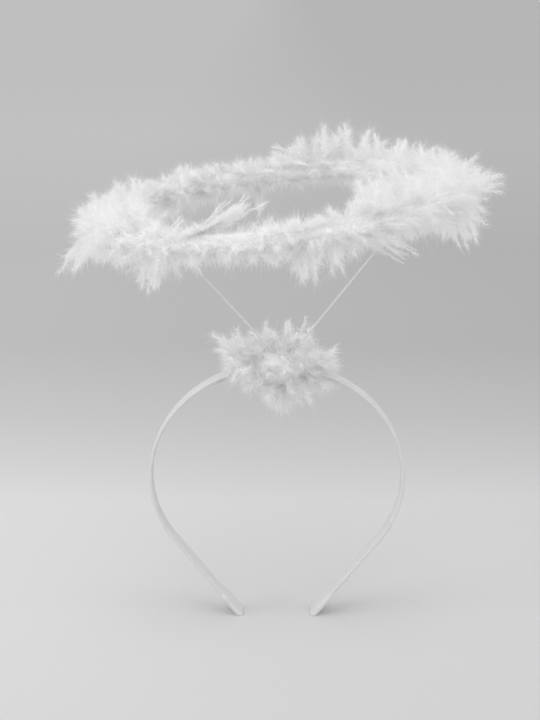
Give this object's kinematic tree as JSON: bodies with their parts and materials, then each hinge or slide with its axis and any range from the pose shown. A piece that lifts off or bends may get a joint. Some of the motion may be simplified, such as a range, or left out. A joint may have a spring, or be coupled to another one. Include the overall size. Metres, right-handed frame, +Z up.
{
  "type": "halo headband",
  "caption": "Costume halo: a ribbon wound hair band with a marabou ring held above it on two wires, and a marabou tuft at the crown.",
  "frame": {"origin": "middle of the bounding box, on the floor under the two tips of the band", "axes": "+Z up through the crown and the ring, +X from the left tip to the right tip, -Y towards the front where the two wires meet the ring"},
  "size_m": [0.2118, 0.2128, 0.2449],
  "materials": {
    "satin_ribbon": "white satin ribbon wound round the band, with a soft sheen",
    "covered_wire": "thin wire covered with white thread",
    "marabou": "white marabou down, matte and fluffy"
  },
  "bodies": {
    "root": {"headband": "satin_ribbon", "stem_binding": "satin_ribbon", "stem_left": "covered_wire", "stem_right": "covered_wire", "knot_left": "covered_wire", "knot_right": "covered_wire", "halo_wire": "covered_wire", "halo_marabou": "marabou", "crown_puff": "marabou"}
  },
  "joints": []
}
